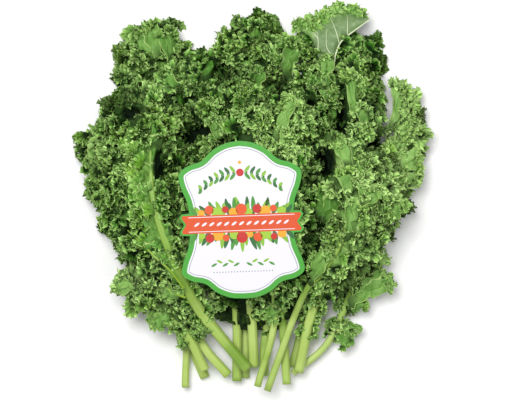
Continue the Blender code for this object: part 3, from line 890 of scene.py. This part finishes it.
def turned_tip(skin, rng):
    s, w = np.meshgrid(np.linspace(0, 1, 70), np.linspace(0, 1, 30), indexing="ij")
    green = np.maximum(w**6, smooth(0.24 - s + 0.1 * w, 0, 0.12))
    skin.grid(turned_points(s, w), UNDERSIDE, edge=green, tint=0.5 + 0.2 * np.sin(8 * s + 3 * w))
    for vein in TURNED_VEINS:
        along = np.linspace(0, 1, 20)
        path = on_path(vein, along)[0] / MM
        line = turned_points(path[:, 0], path[:, 1]) + (0, 0, VEIN_LIFT)
        rod(skin, line, (0.55 - 0.4 * along) * MM, 6, UNDERSIDE, rib=1)
    along = np.linspace(0.45, 1, 30)
    line = turned_points(along, along * 0) + (0, 0, VEIN_LIFT)
    rod(skin, line, (1.3 - 0.8 * along) * MM, 8, UNDERSIDE, rib=1)
    s = rng.uniform(0, 1, TURNED_FRILLS)**1.3 * 0.97
    root = turned_points(s, 0.97 - rng.random(TURNED_FRILLS) * (0.12 + 0.4 * smooth(0.4 - s, 0, 0.3)))
    outward = unit(turned_points(s, np.ones(s.shape)) - turned_points(s, np.full(s.shape, 0.7)))
    swing = rng.normal(0, 0.6, (TURNED_FRILLS, 1))
    wide = unit(np.cross((0, 0, 1), outward))
    upward = (0, 0, 1) * rng.uniform(-0.5, 1.2, (TURNED_FRILLS, 1))
    axes = level(unit(outward * np.cos(swing) + wide * np.sin(swing) + upward))
    fans(skin, rng, root, axes, rng.uniform(4.5, 9.5, TURNED_FRILLS) * MM,
         rng.uniform(0.3, 0.8, TURNED_FRILLS), 37, (14, 20, 0.18), dark=-0.5)


# ---- The finished leaves ---------------------------------------------------------------------
# A fresh leaf is mid green and matt with a faint waxy bloom, paler along its veins and along its
# frilled margin, where the paleness is partly a painted highlight; its stalk is a pale, slightly
# glossy yellow green. Shade is painted into the leaf's colour: near-black green where a point gets
# little painted light, in its folds, hollows and openings.

leaf_green = Paint("leaf green", Specular_IOR_Level=0.12)
tint, edge, rib, openness = leaf_green.masks("tint", "edge", "rib", "open")
# the frills' pale edge is their paler margin and also a painted highlight on their rims
flesh = leaf_green.tones(
    (62, 146, 26), (tint, (194, 236, 142)), (leaf_green.noise(45)**3 * 1.8, (126, 180, 22)),
    (edge * 0.85, (208, 240, 150)), (rib * 0.8, (190, 212, 140)))
# painted shade: the colour falls to a near-black green where the point gets little painted light
leaf_green.set(Base_Color=leaf_green.mix(openness, colour(12, 32, 6), flesh),
               Roughness=0.8 - openness * 0.3)
leaf_green.bump(0.35, 0.4 * MM, leaf_green.noise(700))


def smooth_step(paint, value, start, end):
    """A number that rises evenly from 0 at start to 1 at end."""
    return paint.node("ShaderNodeMapRange", {"interpolation_type": "SMOOTHSTEP"},
                      {"Value": value, "From Min": start, "From Max": end})


# the blade itself, with its main and side veins and its fine net of them
leaf_face = Paint("leaf face", Specular_IOR_Level=0.15)
tint, rib, openness, along = leaf_face.masks("tint", "rib", "open", "along")
run = along + leaf_face.noise(55) * 3
main_veins = 1 - smooth_step(leaf_face, leaf_face.maths("PINGPONG", run, 12.8), 0.4, 1.1)
side_veins = 1 - smooth_step(leaf_face, leaf_face.maths("PINGPONG", run, 3.2), 0.15, 0.75)
net = leaf_face.node("ShaderNodeTexVoronoi", {"feature": "DISTANCE_TO_EDGE"},
                     {"Vector": leaf_face.place(), "Scale": 330})
net = 1 - smooth_step(leaf_face, net, 0.02, 0.2)
veins = leaf_face.maths("MAXIMUM", side_veins * 0.8, net * 0.35)
flesh = leaf_face.tones(
    (60, 122, 26), (tint, (166, 206, 118)), (leaf_face.noise(70, 3)**3 * 2, (52, 104, 28)),
    (veins * 0.3, (160, 198, 100)), (main_veins * 0.7, (186, 212, 130)), (rib * 0.8, (186, 212, 124)))
# painted shade: the face falls to a near-black green where it gets little painted light, under the
# frills, in the hollows and openings and at the neck
leaf_face.set(Base_Color=leaf_face.mix(openness, colour(10, 26, 8), flesh),
              Roughness=0.85 - openness * 0.35)
leaf_face.bump(0.7, 0.9 * MM, leaf_face.noise(260, 3) * 0.7 + veins * -0.2 + main_veins * 0.4)

leaf_back = Paint("leaf underside", Roughness=0.65)
tint, edge, rib = leaf_back.masks("tint", "edge", "rib")
leaf_back.set(Base_Color=leaf_back.tones(
    (82, 112, 62), (tint * 0.7 + leaf_back.noise(60) * 0.3, (120, 148, 96)),
    (leaf_back.noise(240, 4)**4 * 2.4, (160, 184, 134)), (edge * 0.5, (120, 172, 66)),
    (rib, (214, 226, 184))))
leaf_back.bump(0.4, 0.5 * MM, leaf_back.noise(400, 3))

# the stalk, paler and deeper by turns along its length; a thin one has only the deeper tones
stalk_green = Paint("stalk green", Roughness=0.42, Specular_IOR_Level=0.3)
ahead, cut, kind, along, thin = stalk_green.masks("tint", "edge", "rib", "along", "thin")
drift = stalk_green.node("ShaderNodeCombineXYZ", {},
                         {"X": 8 - thin * 4.8, "Y": along * 0.004, "Z": kind * 9})
drift = stalk_green.node("ShaderNodeTexNoise", {}, {"Vector": drift, "Scale": 3.0, "Detail": 4})
flesh = stalk_green.tones(
    (134, 168, 48), (kind, (114, 156, 32)),
    (smooth_step(stalk_green, drift, 0.038, 0.638) * 0.5 * (1 - thin), (198, 216, 130)),
    (smooth_step(stalk_green, drift - thin * 0.0483, 0.5766, 0.9977), (80, 124, 32)),
    (smooth_step(stalk_green, drift, 0.53, 0.65) * 0.45, (200, 218, 132)),
    (smooth_step(stalk_green, 1 - drift, 0.52, 0.64) * 0.6, (92, 138, 36)),
    (smooth_step(stalk_green, ahead, 0.1, 0.5) * 0.7, (120, 160, 62)), (cut * 0.8, (226, 234, 190)))
stalk_green.set(Base_Color=flesh)
stalk_green.bump(0.5, 0.6 * MM, drift)

for number, leaf in enumerate(LEAVES):
    rng = np.random.default_rng(100 + number)
    skin = Skin()
    stalk(skin, leaf, STALK_RADIUS * STALK_THICKNESS.get(leaf.name, rng.uniform(0.7, 1.08)))
    swell = lumps(rng)
    blade(skin, leaf, swell)
    frills(skin, leaf, rng, swell)
    wings(skin, leaf, rng)
    if leaf.name == "turned_tip":
        turned_tip(skin, rng)
    for lobe in LOBES:
        if lobe.leaf == leaf.name:
            lobe_sheet(skin, lobe)
            rim(skin, lobe, rng)
    for name, line in SIDE_STALKS:
        if name == leaf.name:
            radii = np.linspace(0.5, 1.3, SIDE_STEPS) * MM
            rod(skin, side_stalk(leaf.layer, line), radii, SIDE_SIDES, STALK, 0.1, tint=0.2, rib=0.1,
                along=np.linspace(0, 50, SIDE_STEPS)[:, None], thin=1)
    for leaflet in leaf.leaflets:
        root = on_path(leaf.path, np.array([leaflet.share]))[0][0] / MM
        reach = np.array(leaflet.reach)
        line = (tuple(root), tuple(root + reach * 0.5), tuple(root + reach))
        small = leaf._replace(path=line, blade=0.05, left=leaflet.half, right=leaflet.half, waves=2,
                              frill=7, full=0.4, bare=(0.35, 0, 0.8))
        stalk(skin, small, 1.6 * MM)
        blade(skin, small, swell)
        frills(skin, small, rng, swell)
    piece = skin.piece(leaf.name + "_leaf", (leaf_green, stalk_green, leaf_back, leaf_face))
    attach(piece, "root")
    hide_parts("kale_leaf_" + leaf.name)

# ---- The label card --------------------------------------------------------------------------
# A stiff coated card, cut to a shaped outline with a die and printed on its face: a green border, a
# fine line inside it, an orange ribbon across the middle and a plain pattern of leaves and berries.

CARD_THICKNESS = 0.7 * MM
INK = 0.03 * MM             # how far each layer of print stands up
CARD_TOP = ((0, 70), (12, 68), (24, 62), (34, 53), (46, 49), (54, 42), (53, 31), (48, 18), (46, 7))
CARD_RIBBON = ((53, 6.5), (55, 3.5), (51, -3), (55, -9.5), (53, -12.5))
CARD_FOOT = ((46, -13), (48, -24), (53, -37), (54, -47), (46, -53), (34, -56), (24, -64), (12, -69),
             (0, -70))


def soft_corners(points, steps):
    """The points of an outline in metres, with more between them on a smooth curve."""
    return on_path(points, np.linspace(0, 1, (len(points) - 1) * steps + 1))[0]


def mirrored(half):
    """The right half of an outline, from its top to its foot, and its mirror image."""
    return np.concatenate((half, half[-2:0:-1] * (-1, 1)))


def inset(outline, gap):
    """The outline drawn in by gap all round."""
    ahead = unit(np.roll(outline, -1, 0) - np.roll(outline, 1, 0))
    return outline + np.stack((ahead[:, 1], -ahead[:, 0]), 1) * gap


def leaf_shape(place, turn, length, width):
    """A pointed oval."""
    t = np.linspace(0, 2 * pi, 24, endpoint=False)
    x = (1 - np.cos(t)) / 2 * length
    y = np.sin(t) * width / 2 * (1 + 0.35 * np.cos(t)) * np.sin(t / 2)**0.6
    turned = np.stack((x * np.cos(turn) - y * np.sin(turn), x * np.sin(turn) + y * np.cos(turn)), 1)
    return turned * MM + np.array(place) * MM


def dot(place, radius, sides=20):
    t = np.linspace(0, 2 * pi, sides, endpoint=False)
    return (np.array(place) + radius * np.stack((np.cos(t), np.sin(t)), 1)) * MM


class Print:
    """The card's flat shapes, each with its height and its ink."""

    def __init__(self):
        self.points, self.faces, self.inks = [], [], []

    def shape(self, outline, layer, ink):
        start = len(self.points)
        height = CARD_THICKNESS + layer * INK
        self.points += [(x, y, height) for x, y in outline]
        self.faces.append(tuple(range(start, start + len(outline))))
        self.inks.append(ink)

    def ring(self, outer, inner, heights, ink):
        start, count = len(self.points), len(outer)
        self.points += [(x, y, heights[0]) for x, y in outer] + [(x, y, heights[1]) for x, y in inner]
        for i in range(count):
            after = (i + 1) % count
            self.faces.append((start + i, start + after, start + count + after, start + count + i))
            self.inks.append(ink)


WHITE, GREEN, LINE, ORANGE = (colour(*tone) for tone in (
    (223, 221, 228), (62, 156, 42), (110, 132, 122), (208, 74, 16)))
LEAF_INKS = colour(66, 138, 44), colour(128, 178, 48), colour(36, 98, 40)
BERRY_INKS = colour(188, 30, 22), colour(226, 160, 26), colour(214, 78, 24), colour(150, 190, 50)
top, foot = soft_corners(CARD_TOP, 4), soft_corners(CARD_FOOT, 4)
body = mirrored(np.concatenate((top, foot)))
cut = mirrored(np.concatenate((top, np.array(CARD_RIBBON) * MM, foot)))
card = Print()
card.shape(cut[::-1], -CARD_THICKNESS / INK, WHITE)
card.ring(cut, cut, (0, CARD_THICKNESS), WHITE)
card.shape(cut, 0, GREEN)
card.shape(inset(body, 4.6 * MM), 1, WHITE)
card.ring(inset(body, 6.0 * MM), inset(body, 6.5 * MM), (CARD_THICKNESS + 2 * INK,) * 2, LINE)
ribbon = np.array(((-52, 5), (52, 5), (53, 3.2), (49, -3), (53, -9.2), (52, -11), (-52, -11),
                   (-53, -9.2), (-49, -3), (-53, 3.2))) * MM
# two rows of leaves on each side of the ribbon, and a row of berries over them
rng = np.random.default_rng(7)
for side in (-1, 1):
    for row, (count, reach) in enumerate(((15, 17), (12, 11))):
        for i in range(count):
            place = ((i + 0.5) / count - 0.5) * (84 - 10 * row)
            lean = pi / 2 * side - place / 60 * side + rng.uniform(-0.3, 0.3)
            height = -3 + side * 7
            length = reach * (1 - abs(place) / 90) + rng.uniform(0, 3)
            card.shape(leaf_shape((place, height), lean, length, 5), 2 + row, LEAF_INKS[(i + row) % 3])
    for i in range(11):
        place = ((i + 0.5) / 11 - 0.5) * 78
        berry = dot((place, -3 + side * (10 + 2.5 * (i % 2))), 3 + (i * 7) % 3)
        card.shape(berry, 4, BERRY_INKS[(i * 5 + side) % 4])
card.shape(ribbon, 6, ORANGE)
for y in (3.4, -9.4):
    card.shape(np.array(((-47, y + 0.3), (47, y + 0.3), (47, y - 0.3), (-47, y - 0.3))) * MM, 7, WHITE)
for i in range(13):
    place = (i - 6) * 6.6
    card.shape(leaf_shape((place - 2.4, -4.6), 0.6, 5.6, 2.6), 7, WHITE)
# a garland above the ribbon and a sprig below it
for side, outward in ((-1, pi), (1, 0)):
    for i in range(7):
        x, y = side * (4 + i * 5), 42 - 0.012 * (4 + i * 5)**2
        for up in (-1, 1):
            leaf = leaf_shape((x, y), outward + up * side * 0.9, 8 - 0.5 * i, 3.6)
            card.shape(leaf, 2, LEAF_INKS[(i + (up > 0)) % 3])
        card.shape(dot((x + side * 2, y), 0.8, 10), 3, LEAF_INKS[2])
card.shape(dot((0, 42), 3.4), 4, BERRY_INKS[0])
card.shape(dot((0, 51), 1.5), 3, BERRY_INKS[1])
for side, outward in ((-1, pi), (1, 0)):
    for i in range(5):
        lean = side * 0.5 * (1 if i % 2 else -1)
        card.shape(leaf_shape((side * (3 + i * 5), -38), outward + lean, 6, 2.6), 2, LEAF_INKS[i % 2])
for i in range(21):
    card.shape(dot(((i - 10) * 2.6, -46), 0.55, 8), 2, LINE)

card_mesh = bpy.data.meshes.new("label_card")
card_mesh.from_pydata(card.points, [], card.faces)
inks = card_mesh.attributes.new("ink", "FLOAT_COLOR", "FACE")
inks.data.foreach_set("color", np.array(card.inks).ravel())
paper = Paint("printed card", Roughness=0.45, Specular_IOR_Level=0.2)
ink = paper.node("ShaderNodeAttribute", {"attribute_name": "ink"}, {}, "Color")
paper.set(Base_Color=paper.mix(paper.noise(220, 4) * 0.08, ink, colour(196, 196, 196)))
paper.bump(0.1, 0.1 * MM, paper.noise(900))
card_mesh.materials.append(paper.material)
card_mesh.transform(Matrix.Translation(CARD_CENTRE - MIDDLE) @ Matrix.Rotation(CARD_TILT, 4, "X")
                    @ Matrix.Rotation(CARD_TURN, 4, "Z"))
card_piece = add("printed_card", card_mesh)
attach(card_piece, "root")
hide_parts("label_card")
